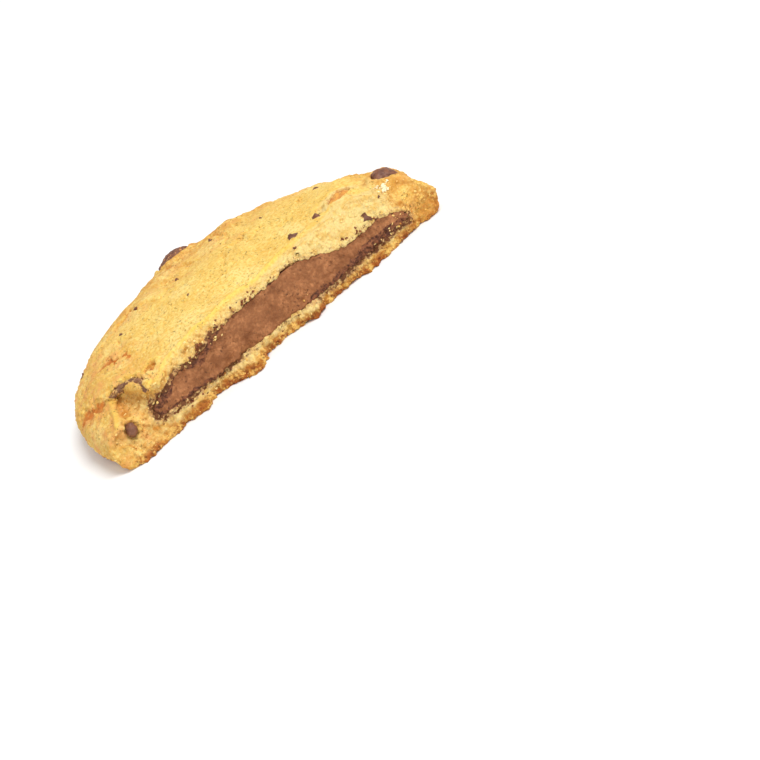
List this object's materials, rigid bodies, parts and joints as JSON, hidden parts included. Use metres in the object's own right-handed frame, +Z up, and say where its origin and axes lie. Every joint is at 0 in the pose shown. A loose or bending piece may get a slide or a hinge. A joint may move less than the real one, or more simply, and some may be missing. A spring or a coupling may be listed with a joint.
{
  "type": "half of a chocolate sandwich cookie",
  "caption": "Half of a round golden cookie, lying flat, broken across to show its layer of chocolate filling, with chips and nut pieces in the crust.",
  "frame": {"origin": "middle of the footprint's box, on the surface that the cookie lies on", "axes": "+X along the break, +Y from the broken face to the round back, +Z up"},
  "size_m": [0.0668, 0.039, 0.0107],
  "materials": {
    "dough": "baked crust and crumb, matte and grainy",
    "filling": "set chocolate cream, satin",
    "chip": "chocolate, soft shine",
    "nut": "toasted nut, slightly waxy"
  },
  "bodies": {
    "root": {"dough": "dough", "filling": "filling", "chip_right_end": "chip", "chip_back_slope": "chip", "chip_rim_back_right": "chip", "chip_rim_back_left": "chip", "chip_break_left": "chip", "chip_arc_left": "chip", "nut_left": "nut", "nut_right": "nut", "nut_rim_back": "nut"}
  },
  "joints": []
}
